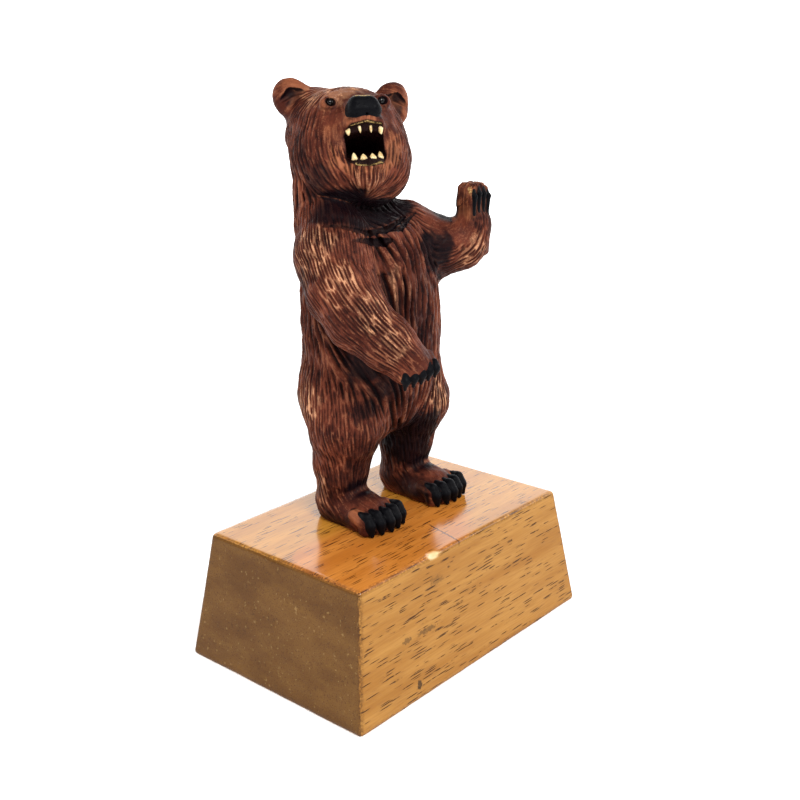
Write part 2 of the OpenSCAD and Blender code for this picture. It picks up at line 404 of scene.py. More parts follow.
# Cuts across the chest and the left shoulder.
CHEST_CUTS = [laid(line) for line in [
    [[-19.4, -5.5, 95.3, 0.3], [-15.5, -5.6, 94.8, 0.6], [-11.2, -5.1, 93.8, 1.0], [-7.0, -6.2, 93.2, 1.3],
     [-3.7, -6.6, 93.4, 0.5]],
    [[-24, 2.3, 99.2, 0.3], [-20.5, -1.0, 98.6, 0.6], [-17.2, -3.5, 98.2, 0.7], [-10, -4.4, 97.0, 0.9],
     [-3.8, -4.2, 96.5, 0.8], [3, -3.0, 97.4, 0.7], [9.8, 0, 99.2, 0.4]],
    [[-3, -3.6, 95.2, 0.3], [3, -4.4, 95.8, 0.6], [8.4, -2, 97.4, 0.5], [15.4, 0.3, 99.0, 0.3]]]]


def bear(p, parts=None):
    parts = parts or part_distances(p)
    d = body(p, parts)
    d = cut(d, limbs(p, CHEST_CUTS, 0.4), 0.3)
    d = join(d, parts["head"], SOFTNESS["head"])
    return cut(d, p[:, 2], 0.4)


def settle(p, rounds):
    """Moves points onto the bear's surface."""
    for _ in range(rounds):
        p = p - gradient(bear, p) * np.clip(bear(p), -1, 1)[:, None] * 0.9
    return p


# ---------- from the field to a mesh ----------

BAND = 3.0                                       # distances beyond this are cut off

def grid_points(low, count, cell):
    steps = [low[a] + np.arange(count[a]) * cell for a in range(3)]
    return np.stack(np.meshgrid(*steps, indexing="ij"), -1).reshape(-1, 3)


def surface_quads(values, low, cell):
    """The surface where a grid of distances is zero, as points and quads that face outwards."""
    volume = openvdb.FloatGrid(background=BAND)
    volume.copyFromArray(np.clip(values, -BAND, BAND).astype(np.float32))
    corners, quads = volume.convertToQuads(isovalue=0.0)
    points = corners * cell + low
    a, b, c, _ = (points[quads[:, i]] for i in range(4))
    if (np.cross(b - a, c - a) * (a - points.mean(0))).sum() < 0:
        quads = quads[:, ::-1]
    return points, quads


def first_mesh():
    """The field is sampled coarsely, then finely near the surface only."""
    low, high = np.array([-37.0, -38.0, -2.0]), np.array([46.0, 38.0, 146.0])
    coarse = 4                                   # a coarse step, in fine cells
    n = np.ceil((high - low) / (CELL * coarse)).astype(int) + 1
    rough = bear(grid_points(low, n, CELL * coarse)).reshape(n)
    fine = np.repeat(np.repeat(np.repeat(rough, coarse, 0), coarse, 1), coarse, 2)
    band = np.argwhere(np.abs(fine) < CELL * coarse * 2.2)
    fine[tuple(band.T)] = np.concatenate([bear(c) for c in np.array_split(low + band * CELL, 8)])
    return surface_quads(fine, low, CELL)


def make_mesh(name, points, faces, smooth=True):
    mesh = bpy.data.meshes.new(name)
    mesh.from_pydata([tuple(c) for c in points], [], [tuple(int(i) for i in f) for f in faces])
    mesh.update()
    obj = bpy.data.objects.new(name, mesh)
    bpy.context.collection.objects.link(obj)
    mesh.polygons.foreach_set("use_smooth", [smooth] * len(mesh.polygons))
    return obj


def halve(points, quads):
    """Each quad becomes four."""
    edges = np.concatenate([quads[:, [i, (i + 1) % 4]] for i in range(4)])
    edges.sort(1)
    unique, back = np.unique(edges, axis=0, return_inverse=True)
    back = back.reshape(4, len(quads)).T
    count = len(points)
    middle = points[unique].mean(1)
    centre = points[quads].mean(1)
    mid_id = back + count
    centre_id = count + len(unique) + np.arange(len(quads))
    new = [np.stack([quads[:, i], mid_id[:, i], centre_id, mid_id[:, (i - 1) % 4]], 1) for i in range(4)]
    return np.concatenate([points, middle, centre]), np.concatenate(new)


def vertex_normals(points, quads):
    a, b, c, d = (points[quads[:, i]] for i in range(4))
    face = np.cross(c - a, d - b)
    out = np.zeros_like(points)
    for i in range(4):
        np.add.at(out, quads[:, i], face)
    return out / np.maximum(length(out)[:, None], 1e-12)


def relax(values, quads, count, rounds):
    """Averages a value per vertex with its neighbours."""
    for _ in range(rounds):
        total = np.zeros((count,) + values.shape[1:])
        near = np.zeros(count)
        for i in range(4):
            a, b = quads[:, i], quads[:, (i + 1) % 4]
            np.add.at(total, a, values[b])
            np.add.at(total, b, values[a])
            np.add.at(near, a, 1)
            np.add.at(near, b, 1)
        near = near.reshape((-1,) + (1,) * (values.ndim - 1))
        values = 0.5 * values + 0.5 * total / np.maximum(near, 1)
    return values


# ---------- which way the fur lies, and how it is cut ----------

def waves(p, size, seed):
    """Smooth noise from -1 to 1, made of a few crossed waves."""
    turn = np.random.default_rng(seed)
    total = np.zeros(len(p))
    for _ in range(7):
        axis = turn.normal(size=3)
        axis /= np.linalg.norm(axis)
        total += np.sin(p @ axis * (2 * math.pi / size) * turn.uniform(0.6, 1.5) + turn.uniform(0, 6.28))
    return total / 3.2


def along(points):
    """The direction of a limb near each point: from its first joint towards its last."""
    a = np.array([s[:3] for s in points], float)

    def field(p):
        total = np.zeros_like(p)
        for start, end in zip(a[:-1], a[1:]):
            way = end - start
            t = np.clip((p - start) @ way / (way @ way), 0, 1)
            away = length(p - start - t[:, None] * way)
            total += np.exp(-away / 2.0)[:, None] * way / np.linalg.norm(way)
        return total / np.maximum(length(total)[:, None], 1e-9)
    return field


def trunk_flow(p):
    """Down, swaying, drawn towards the crotch below and away from the right armpit on that flank."""
    flow = np.zeros_like(p)
    flow[:, 2] = -1
    sway = 0.30 * np.sin(p[:, 2] / 6.5 + p[:, 0] / 11) + 0.15 * waves(p, 14, 3)
    right_flank = smoothstep(-p[:, 0], -6, 14) * smoothstep(-p[:, 1], -22, -2)
    flow[:, 0] = sway * 0.8 + 0.55 * right_flank
    flow[:, 1] = -0.3 * right_flank + 0.1 * waves(p, 18, 5)
    crotch = np.array([MID_X, -6.0, 20.0]) - p
    crotch /= length(crotch)[:, None]
    pull = (smoothstep(-p[:, 2], -52, -34) * smoothstep(-p[:, 1], -14, 0))[:, None]
    return flow * (1 - pull) + crotch * pull


def head_flow(p):
    """Like meridians from the brow round the cheeks to the bottom of the ruff."""
    q = to_head(p)
    a = q - np.array([0, -6.0, 15.0])
    b = np.array([0, -5.0, -22.0]) - q
    flow = a / np.maximum(length(a)[:, None], 1) ** 3 * 4 + b / np.maximum(length(b)[:, None], 1) ** 3 * 4
    flow += 0.004 * np.array([0, 0.3, -1.0])
    return (flow / np.maximum(length(flow)[:, None], 1e-9)) @ HEAD_AXES.T


def down(p):
    return np.tile([0.0, -0.1, -1.0], (len(p), 1))


def forward(p):
    return np.tile([0.0, -1.0, -0.4], (len(p), 1))


FLOWS = {
    "trunk": trunk_flow, "right_leg": down, "left_leg": down, "right_foot": forward, "left_foot": forward,
    "right_arm": along(RIGHT_ARM), "left_arm": along(LEFT_ARM + [[36, -7, 108]]), "head": head_flow}
# Half the width of a cut, its depth, how long it runs, in mm, and its spacing in half widths.
ON_LEG, ON_FOOT = (0.5, 0.42, 10, 2.1), (0.7, 0.04, 3, 2)
CUTS = {"trunk": (0.85, 1.5, 32, 2.15), "right_leg": ON_LEG, "left_leg": ON_LEG,
        "right_foot": ON_FOOT, "left_foot": ON_FOOT, "right_arm": (0.45, 0.4, 11, 2.1),
        "left_arm": ON_LEG, "head": (0.5, 0.45, 13, 2.2)}
LEAST_DEPTH = 0.03                               # no stroke runs where a cut would be shallower


def fur_plan(p, parts):
    """Per vertex: the way the fur lies, and a cut's half width, depth, length and spacing."""
    near = np.stack([parts[n] for n in PARTS], 1)
    weight = np.exp(-(near - near.min(1, keepdims=True)) / 1.2)
    weight /= weight.sum(1, keepdims=True)
    flow = sum(weight[:, i:i + 1] * FLOWS[n](p) for i, n in enumerate(PARTS))
    size, depth, run, apart = (sum(weight[:, i] * CUTS[n][k] for i, n in enumerate(PARTS))
                               for k in range(4))
    q = to_head(p)
    in_head = weight[:, PARTS.index("head")]
    face = smoothstep(-ellipsoid(q, [0, -14, 3.0], [12.5, 9, 12.0]), -3, 1.5)      # muzzle and brow
    crown = smoothstep(q[:, 2] - 0.3 * q[:, 1], 8, 15)
    ears = np.minimum(ear(q, RIGHT), ear(q, LEFT)) < 0.4
    calm = 1 - in_head * np.clip(face * 0.97 + crown * 0.55 + ears * 0.9, 0, 1)
    paw = p - PAW_AT
    palm = smoothstep(-paw[:, 0], 3.6, 4.6) * smoothstep(paw[:, 2], -9, -6) * (length(paw) < 18)
    hand = smoothstep(-length(p - np.array([-14.5, -26, 59.5])), -9, -5.5)
    calm *= (1 - 0.95 * palm) * (1 - 0.75 * hand) * smoothstep(all_claws(p), 0.2, 1.0)
    belly = weight[:, 0] * smoothstep(-p[:, 1], -6, 4)
    size *= 1 + 0.25 * belly
    depth = depth * calm * (1 + 0.3 * belly)
    shoulder = weight[:, PARTS.index("right_arm")] * smoothstep(p[:, 2], 80, 92)
    size = size * (1 - 0.2 * shoulder)
    return flow, size, depth, run, apart


def comb(tree, points, normals, flow, size, depth, run, apart):
    """Lays strokes along the fur, evenly spaced, as samples: place, half width, depth."""
    cell = 1.0
    taken = {}                                   # the samples so far, by the cell that they lie in

    def crowded(c, gap, own):
        reach = int(math.ceil(gap / cell))
        base = [int(math.floor(v / cell)) for v in c]
        for i in range(-reach, reach + 1):
            for j in range(-reach, reach + 1):
                for k in range(-reach, reach + 1):
                    for x, y, z, who in taken.get((base[0] + i, base[1] + j, base[2] + k), ()):
                        if who != own and (x - c[0]) ** 2 + (y - c[1]) ** 2 + (z - c[2]) ** 2 < gap * gap:
                            return True
        return False

    samples = []
    order = rng.permutation(len(points))[: len(points) // 2]
    stroke = 0
    for seed in order:
        if depth[seed] < LEAST_DEPTH:
            continue
        gap = size[seed] * apart[seed]
        if crowded(points[seed], gap, -1):
            continue
        stroke += 1
        goal = run[seed] * rng.uniform(0.45, 1.25)
        strength = rng.uniform(0.6, 1.15)
        broad = rng.uniform(0.75, 1.25)
        sides = []
        for way in (1, -1):
            at, i, gone, line = Vector(points[seed]), int(seed), 0.0, []
            while gone < goal / 2:
                line.append((at.copy(), i))
                at = at + Vector(flow[i]) * way * size[i] * 0.5
                found, i, _ = tree.find(at)
                normal = Vector(normals[i])
                at = at - normal * (at - found).dot(normal)
                gone += size[i] * 0.5
                if depth[i] < LEAST_DEPTH or crowded(at, size[i] * apart[i] * 0.72, stroke):
                    break
            sides.append(line)
        line = sides[1][::-1] + sides[0][1:]
        if len(line) < 8:
            continue
        for n, (at, i) in enumerate(line):
            taken.setdefault(tuple(int(math.floor(v / cell)) for v in at), []).append((*at, stroke))
            end = min(n, len(line) - 1 - n) / (0.3 * len(line))
            samples.append((at, size[i] * broad, depth[i] * strength * min(1.0, 0.25 + end)))
    return samples


def hair(points, flow, tree, quads):
    """Fine random streaks along the fur: noise averaged along the line through each vertex."""
    streak = relax(rng.normal(size=len(points)), quads, len(points), 1)
    total = streak.copy()
    for way in (0.4, -0.4):
        step = np.array([tree.find(c)[1] for c in points + flow * way])
        at = step
        for _ in range(6):
            total += streak[at]
            at = step[at]
    return 0.5 + 0.2 * total / total.std()


def carve(tree, samples, count):
    """How deep each vertex is cut: the deepest scoop that reaches it."""
    who, what = [], []
    for at, half, deep in samples:
        for _, i, away in tree.find_range(at, half):
            who.append(i)
            what.append(deep * (1 - (away / half) ** 1.3))
    out = np.zeros(count)
    np.maximum.at(out, np.array(who, int), np.array(what))
    return out


# ---------- the bear ----------

# Where handling has rubbed the stain off, with the crown and the right arm's top lightened further as
# painted highlight; then patches of painted shade under the arms and the head, between the legs and the
# feet, on the belly and on the raised paw's front: [centre, radii, strength].
WORN_AND_LIT = [
    [[-28.6, 2, 92], [5, 7, 9], 1], [[-28.5, -8, 84.5], [5, 6, 7], 1], [[-25.5, -18, 76.5], [6, 7, 6], 1],
    [[-23, -25, 68.5], [5, 5, 5], 0.8], [[-24.4, 13, 42.5], [4, 7, 6], 1], [[-5, -10, 77], [4, 4, 7], 0.5],
    [[30, -14, 84], [8, 5, 6], 0.9], [[19, -7, 38], [5, 4, 6], 1], [[-10, -4, 22], [3, 4, 8], 0.6],
    [from_head([0, -13, -17]), [5, 6, 3.5], 0.5], [from_head([-4, -6, 16]), [12, 9, 6], 1],
    [[-22, 14, 12], [5, 6, 7], 0.7]]
SHADE_PATCHES = [
    [[17, -7, 87], [8, 6.5, 7.5], 1], [[-14, -4, 55], [8, 7, 6], 0.95], [[-9, -8, 47], [6, 5, 5], 0.85],
    [[-15.5, -5, 40.5], [5.5, 4, 3.5], 0.75], [[13.5, 0, 23], [9.5, 11, 14], 1],
    [[-3, 6, 20], [6, 10, 16], 1],
    [[3.5, -8, 28], [9, 7, 5], 1], [[6, -10, 68], [10, 6, 20], 0.45], [[-12, 0, 20], [9, 9, 13], 0.62],
    [[36, -11, 98], [5.5, 3, 9], 0.6], [[12, 0, 5], [5, 9, 5], 0.8], [[-21, 6, 2], [5, 10, 2.5], 0.8],
    [from_head([-14.5, -6, -12]), [4, 5, 6], 0.75], [from_head([-17, -4, -3.5]), [3, 4, 6], 0.6],
    [from_head([15, -4, -5]), [5, 9, 12], 0.5], [from_head([8, -10, -9]), [3.5, 5, 6], 0.4]]
# Pale worn lines: the nose's rim, the lips' edges and the paw's tip, as rows of [x, y, z, radius].
NOSE_RIM = [[-2.6, -19.8, 6.9, 0.3], [0, -20.3, 7.0, 0.4], [2.6, -19.8, 6.9, 0.3]]
UPPER_EDGE = [[-4.6, -17.9, -1.4, 0.0], [0, -19.7, -1.2, 0.05], [4.6, -17.9, -1.4, 0.0]]
LOWER_EDGE = [[-4.0, -15.2, -12.3, 0.2], [0, -16.6, -12.7, 0.3], [4.0, -15.2, -12.3, 0.2]]
PAW_RIM = [[31.4, -9.6, 105.4, 0.5], [30.6, -10.5, 104.2, 0.1], [30.4, -10.7, 101.5, 0.0]]


def spots(p, places):
    """From 0 to 1: how strongly the ragged patches of a table cover each point."""
    ragged = 1.3 * waves(p, 7, 41) + 0.9 * waves(p, 2.4, 42)
    return np.maximum.reduce([strength * smoothstep(ragged - ellipsoid(p, centre, radii), -1.8, 1.8)
                              for centre, radii, strength in places])


def shade_below_ruff(p, from_head_part):
    """From 0 to 1: painted shade on the front of the neck under the ruff, down to a fold that curves across
    the chest.
    """
    x, y, z = p.T
    fold = 97.0 + 0.0066 * (x + 3.8) ** 2 + 0.8 * np.maximum(x + 3, 0)
    dark = smoothstep(z - fold, -0.8, 0.6) * smoothstep(-y, -13, -6) * smoothstep(-x, -13, -5)
    return dark * ((from_head_part > 0.15) * (1 - smoothstep(from_head_part, 9, 13)))


def set_values(mesh, values):
    """Stores values per vertex, by name, for the materials to read."""
    for name, v in values.items():
        mesh.attributes.new(name, "FLOAT", "POINT").data.foreach_set("value", np.asarray(v, np.float32))


def plain_bear():
    """The bear's surface before the fur is cut."""
    points, quads = first_mesh()
    points = settle(points, 2)
    points = relax(points, quads, len(points), 1)
    points, quads = halve(points, quads)
    return settle(points, 1), quads


def build_bear():
    points, quads = plain_bear()
    parts = part_distances(points)
    normals = vertex_normals(points, quads)
    flow, size, depth, run, apart = fur_plan(points, parts)
    flow = flow - (flow * normals).sum(1, keepdims=True) * normals
    flow /= np.maximum(length(flow)[:, None], 1e-9)
    tree = KDTree(len(points))
    for i, c in enumerate(points):
        tree.insert(c, i)
    tree.balance()
    samples = comb(tree, points, normals, flow, size, depth, run, apart)
    streaks = hair(points, flow, tree, quads)
    deep = carve(tree, samples, len(points))

    # How open the surface is 3 and 11 mm out; the wood material paints shade where it is shut in.
    open_near = np.clip(bear(points + normals * 3.0) / 3.0, 0, 1)
    open_far = np.clip(bear(points + normals * 11.0) / 11.0, 0, 1)
    inside = np.clip(-bear(points - normals * 4.0) / 4.0, 0, 1)
    q = to_head(points)
    painted = np.minimum(nose(q) - 0.35, all_claws(points) - 0.25)
    above_floor = smoothstep(points[:, 2], 0.1, 1.5)
    # The surface is slightly lumpy, and the wood between close cuts stands a little proud.
    knobble = 0.08 * waves(points, 3.4, 11) + 0.26 * waves(points, 9, 12)
    knobble *= smoothstep(np.abs(painted), 0, 1) * above_floor
    lift = 0.35 * relax(deep, quads, len(points), 14)
    furry = smoothstep(depth, 0.02, 0.3)
    fine = 0.14 * (streaks - 0.5) * (0.25 + 0.75 * furry) * smoothstep(painted, 0, 0.6)
    carved = points - normals * ((deep - lift - fine) * above_floor - knobble * 0.8)[:, None]
    carved[:, 2] = np.maximum(carved[:, 2], 0.0)

    rims = np.minimum(limbs(q, (NOSE_RIM, UPPER_EDGE, LOWER_EDGE), 0.3), limb(points, PAW_RIM, 0.3))
    in_cut = 0.85 * (1 - smoothstep(limbs(points, CHEST_CUTS, 0.4), 0.05, 0.4))
    obj = make_mesh("bear_visual", (carved + [0, 0, TOP]) * MM, quads)
    set_values(obj.data, {
        "cut": np.maximum(deep / np.maximum(depth, 0.25), in_cut),
        "hair": 0.5 + (streaks - 0.5) * (0.3 + 0.7 * furry),
        "open_near": open_near,
        "open_far": open_far,
        "bulge": 1 - inside,
        "paint": 1 - smoothstep(painted, -0.3, 0.3),
        "mouth": 1 - smoothstep(mouth(q), 0.05, 0.4),
        "fur": depth,
        # Patches rubbed pale, partly painted highlight where the light falls on the crown and the right
        # arm.
        "worn": spots(points, WORN_AND_LIT),
        # Painted shade: the dark patches, and the shade under the ruff.
        "soot": np.maximum(spots(points, SHADE_PATCHES), shade_below_ruff(points, parts["head"])),
        "rim": 1 - smoothstep(rims, 0.05, 0.45)})
    return obj


# ---------- materials ----------

class Nodes:
    """A short hand for building a node tree."""

    def __init__(self, name):
        self.material = bpy.data.materials.new(name)
        self.material.use_nodes = True
        self.tree = self.material.node_tree
        self.tree.nodes.clear()
        self.out = self.add("OutputMaterial")

    def add(self, kind, **values):
        """A new node, with each value put on the socket of that name."""
        node = self.tree.nodes.new("ShaderNode" + kind)
        for key, value in values.items():
            self.put(node.inputs[key.replace("_", " ")], value)
        return node

    def put(self, socket, value):
        if isinstance(value, bpy.types.NodeSocket):
            self.tree.links.new(value, socket)
        else:
            socket.default_value = value

    def math(self, op, a, b=0.0):
        node = self.add("Math")
        node.operation = op
        self.put(node.inputs[0], a)
        self.put(node.inputs[1], b)
        return node.outputs[0]

    def span(self, value, low, high, to_low=0.0, to_high=1.0):
        node = self.add("MapRange")
        node.interpolation_type = "SMOOTHSTEP"
        names = ("Value", "From Min", "From Max", "To Min", "To Max")
        for name, v in zip(names, (value, low, high, to_low, to_high)):
            self.put(node.inputs[name], v)
        return node.outputs[0]

    def mix(self, factor, a, b, blend="MIX"):
        node = self.add("Mix")
        node.data_type = "RGBA"
        node.blend_type = blend
        self.put(node.inputs[0], factor)
        self.put(node.inputs[6], a)
        self.put(node.inputs[7], b)
        return node.outputs[2]

    def value(self, name):
        node = self.add("Attribute")
        node.attribute_name = name
        return node.outputs["Fac"]

    def place(self, scale=(1, 1, 1), shift=0.0):
        """Object coordinates in millimetres, stretched by scale and then moved by shift."""
        where = self.add("TexCoord")
        node = self.add("Mapping", Vector=where.outputs["Object"])
        node.inputs["Scale"].default_value = [s / MM for s in scale]
        node.inputs["Location"].default_value = [shift] * 3
        return node.outputs[0]

    def noise(self, where, scale, detail=3.0, rough=0.55):
        node = self.add("TexNoise", Vector=where, Scale=scale, Detail=detail, Roughness=rough)
        return node.outputs["Fac"]

    def axes(self, vector):
        return self.add("SeparateXYZ", Vector=vector).outputs

    def bump(self, height, distance, strength):
        return self.add("Bump", Height=height, Distance=distance, Strength=strength).outputs[0]

    def surface(self, **values):
        node = self.add("BsdfPrincipled", **values)
        self.put(self.out.inputs["Surface"], node.outputs[0])
        return self.material


def rgb(r, g, b):
    """An sRGB colour, 0 to 255, as linear light."""
    def line(v):
        v /= 255
        return v / 12.92 if v <= 0.04045 else ((v + 0.055) / 1.055) ** 2.4
    return (line(r), line(g), line(b), 1.0)


def stained_wood():
    """Red-brown stain, black in the cuts, darkened by painted shade in the hollows and the shade patches,
    rubbed pale on the ridges where handling took the stain off, and lightened there by painted highlight on
    the crown and the right arm.
    """
    n = Nodes("stained_wood")
    where = n.place()
    grain = n.noise(n.place((1, 1, 0.12)), 1.6, 4)
    patches = n.noise(where, 0.10, 3)
    specks = n.noise(where, 2.2, 3)
    hair = n.value("hair")
    grit = n.math("SUBTRACT", specks, 0.5)
    cut_here = n.math("ADD", n.value("cut"), n.math("MULTIPLY", grit, 0.4))
    deep = n.math("MULTIPLY", n.span(cut_here, 0.15, 0.7), n.span(n.value("fur"), 0.3, 1.2, 0.6, 0.97))
    ridge = n.span(cut_here, 0.3, 0.0)
    # Painted shade: darker where the surface faces into nearby parts of the bear, as in the armpits, at the
    # neck and between the legs.
    occlusion_shade = n.math("MAXIMUM", n.span(n.value("open_near"), 0.85, 0.35),
                    n.span(n.value("open_far"), 0.75, 0.2))
    base = n.mix(n.span(patches, 0.35, 0.65), rgb(68, 28, 19), rgb(112, 56, 39))
    base = n.mix(n.span(grain, 0.35, 0.75, 0, 0.5), base, rgb(62, 28, 21))
    fleck = n.span(n.math("ADD", hair, n.math("MULTIPLY", grit, 0.6)), 0.5, 0.72)
    # Rubbed pale on the ridges, plus painted highlight where the light falls on the crown and the right
    # arm.
    worn = n.math("MULTIPLY", n.value("worn"), n.span(fleck, 0.0, 1.0, 0.3, 1.0))
    sharp = n.math("MULTIPLY", n.span(n.value("bulge"), 0.08, 0.40),
                   n.span(n.math("ADD", hair, patches), 0.85, 1.2))
    base = n.mix(n.math("MULTIPLY", sharp, 0.6), base, rgb(172, 106, 70))
    base = n.mix(n.math("MULTIPLY", n.math("MULTIPLY", ridge, fleck), 0.35), base, rgb(176, 112, 80))
    base = n.mix(n.math("MULTIPLY", ridge, n.math("MULTIPLY", worn, 0.85)), base, rgb(214, 156, 116))
    base = n.mix(n.span(hair, 0.42, 0.18, 0, 0.75), base, rgb(30, 11, 8))
    base = n.mix(deep, base, rgb(18, 6, 6))
    # Painted shade from the shut-in hollows and the shade patches, taken nearly to black.
    dark = n.math("MAXIMUM", occlusion_shade, n.math("MULTIPLY", n.value("soot"), 0.95))
    base = n.mix(n.math("MULTIPLY", dark, 0.97), base, rgb(9, 3, 8))
    black = n.span(n.math("ADD", n.value("paint"), n.math("MULTIPLY", grit, 0.5)), 0.3, 0.6)
    base = n.mix(black, base, rgb(6, 6, 10))
    base = n.mix(n.value("mouth"), base, rgb(26, 8, 7))
    base = n.mix(n.math("MULTIPLY", n.value("rim"), n.span(specks, 0.42, 0.56)), base, rgb(206, 172, 108))
    rough = n.span(specks, 0.3, 0.7, 0.38, 0.6)
    height = n.math("ADD", n.math("MULTIPLY", hair, 0.6), n.math("MULTIPLY", specks, 0.4))
    return n.surface(Base_Color=base, Roughness=rough, Specular_IOR_Level=0.07,
                     Normal=n.bump(height, 0.4 * MM, 0.8))


# Stains on the plinth's front: x, z, half width, half height, strength.
PLINTH_MARKS = [[-29.5, 4.9, 1.0, 1.6, 0.9], [-32.8, 21.0, 2.0, 1.0, 0.6], [-23.5, 20.6, 4.5, 1.0, 0.6],
                [-16.7, 34.5, 3.5, 1.6, 0.35]]
CRACK_X, CRACK_SLANT = 4.0, 0.24                 # the crack in the top: its x at y = 0, and x per y
CRACK_FROM_Y = -16.0                             # it runs from here to the front edge
REFLECTION_ACROSS = (0.66, -0.75)                      # a direction on the top, as parts of x and of y
REFLECTION_LOW, REFLECTION_HIGH, REFLECTION_BACK_Y = -32.0, 30.0, 6.0   # where the band of the bear's painted reflection ends
# Painted light on the top face: a pale yellow sheen, and a deeper orange in the band where the bear is
# reflected.
TOP_SHEEN_TINT, BEAR_REFLECTION_TINT = (1.32, 1.2, 0.7, 1), (1.36, 1.0, 0.7, 1)


def end_grain(n):
    """The ends of the block: dull brown, with fine dark and pale specks."""
    clouds = n.noise(n.place((0.2, 0.35, 1)), 0.14, 3)
    dark_specks = n.noise(n.place((0.3, 1, 1)), 2.6, 4)
    pale_specks = n.noise(n.place((0.3, 1, 1), 3.1), 0.75, 4)
    wood = n.mix(n.span(clouds, 0.3, 0.7), rgb(96, 62, 26), rgb(114, 78, 36))
    wood = n.mix(n.span(dark_specks, 0.52, 0.68, 0, 0.7), wood, rgb(52, 32, 16))
    return n.mix(n.span(pale_specks, 0.62, 0.72, 0, 0.6), wood, rgb(160, 126, 76))


def plinth_pores(n, where):
    """Long dark pores along X, in two layers, that thin out in places."""
    pore = 0.0
    for shift in (0.0, 7.3):
        spot = n.add("TexVoronoi", Vector=n.place((0.08, 1.25, 1.25), shift), Scale=1.0).outputs["Distance"]
        pore = n.math("MAXIMUM", pore, n.span(spot, 0.27, 0.17))
    return n.math("MULTIPLY", pore, n.span(n.noise(where, 0.22, 2), 0.38, 0.5))


def plinth_crack(n, where, x, y, z):
    ragged = n.math("MULTIPLY", n.math("SUBTRACT", n.noise(where, 0.9, 3), 0.5), 1.2)
    crack_at = n.math("ADD", n.math("MULTIPLY", y, CRACK_SLANT), CRACK_X)
    off_crack = n.math("ABSOLUTE", n.math("SUBTRACT", n.math("ADD", x, ragged), crack_at))
    crack = n.math("MULTIPLY", n.span(off_crack, 0.4, 0.15), n.span(y, CRACK_FROM_Y, CRACK_FROM_Y - 3.0))
    return n.math("MULTIPLY", crack, n.span(z, TOP - 2.0, TOP - 0.5))


def plinth_mark(n, where, x, y, z, mark):
    """A ragged stain on the front face."""
    mark_x, mark_z, wide, tall, strength = mark
    off = n.math("ADD", n.math("POWER", n.math("DIVIDE", n.math("SUBTRACT", x, mark_x), wide), 2.0),
                 n.math("POWER", n.math("DIVIDE", n.math("SUBTRACT", z, mark_z), tall), 2.0))
    ragged = n.math("MULTIPLY", n.math("SUBTRACT", n.noise(where, 1.1, 3), 0.5), 4.0)
    on_front = n.span(y, 1.0 - TOP_HALF[1], -TOP_HALF[1])
    stain = n.math("MULTIPLY", n.span(n.math("ADD", off, ragged), 1.2, 0.4), on_front)
    return n.math("MULTIPLY", stain, strength)


def plinth_wood():
    """Varnished open-grained wood: long dark pores on the sides and the top, speckled end grain."""
    n = Nodes("plinth_wood")
    where = n.place()
    x, y, z = n.axes(where)
    bands = n.noise(n.place((0.09, 1, 1)), 0.16, 4)
    fibres = n.noise(n.place((0.05, 1, 1)), 2.2, 4)
    base = n.mix(n.span(bands, 0.3, 0.7), rgb(160, 108, 46), rgb(182, 132, 66))
    base = n.mix(n.span(fibres, 0.35, 0.8, 0, 0.5), base, rgb(138, 90, 40))
    pore = plinth_pores(n, where)
    base = n.mix(n.math("MULTIPLY", pore, 0.9), base, rgb(58, 32, 16))
    base = n.mix(n.math("MULTIPLY", plinth_crack(n, where, x, y, z), 0.85), base, rgb(44, 24, 14))
    for mark in PLINTH_MARKS:
        base = n.mix(plinth_mark(n, where, x, y, z, mark), base, rgb(70, 50, 30))
    facing_x, _, facing_z = n.axes(n.add("NewGeometry").outputs["True Normal"])
    base = n.mix(n.span(n.math("ABSOLUTE", facing_x), 0.75, 0.92), base, end_grain(n))
    edge = n.math("MULTIPLY", n.value("edge"), n.span(n.noise(where, 1.3, 4), 0.35, 0.55))
    base = n.mix(n.math("MULTIPLY", edge, 0.6), base, rgb(74, 44, 24))
    base = n.mix(n.value("chip"), base, rgb(232, 204, 150))
    # Painted light: upward faces get a lighter, sheened copy of the wood, with deeper orange where the
    # bear's reflection lies.
    upward = n.span(facing_z, 0.3, 0.9)
    across = n.math("ADD", n.math("MULTIPLY", x, REFLECTION_ACROSS[0]), n.math("MULTIPLY", y, REFLECTION_ACROSS[1]))
    bear_reflection = n.math("MULTIPLY", n.span(across, REFLECTION_LOW, REFLECTION_LOW + 4.0),
                  n.span(across, REFLECTION_HIGH, REFLECTION_HIGH - 8.0))
    bear_reflection = n.math("MULTIPLY", bear_reflection, n.span(y, REFLECTION_BACK_Y, REFLECTION_BACK_Y - 8.0))
    lit = n.mix(bear_reflection, n.mix(1.0, base, TOP_SHEEN_TINT, "MULTIPLY"), n.mix(1.0, base, BEAR_REFLECTION_TINT, "MULTIPLY"))
    base = n.mix(n.math("MULTIPLY", upward, n.span(n.value("chip"), 1.0, 0.0)), base, lit)
    varnish = n.span(upward, 0.0, 1.0, 0.3, 1.0)
    return n.surface(Base_Color=base, Roughness=0.5, Specular_IOR_Level=0.0,
                     Coat_Weight=varnish, Coat_Roughness=0.17,
                     Normal=n.bump(n.math("MULTIPLY", pore, -1.0), 0.2 * MM, 0.6))


def tooth_bone():
    n = Nodes("tooth")
    stain = n.noise(n.place(), 0.9, 3)
    return n.surface(Base_Color=n.mix(n.span(stain, 0.35, 0.7), rgb(236, 214, 160), rgb(196, 156, 92)),
                     Roughness=0.3, Coat_Weight=0.5)


def black_glass():
    n = Nodes("eye_glass")
    swirl = n.noise(n.place(), 0.8, 2)
    return n.surface(Base_Color=n.mix(swirl, rgb(6, 5, 6), rgb(18, 12, 10)), Roughness=0.06,
                     Specular_IOR_Level=0.3)


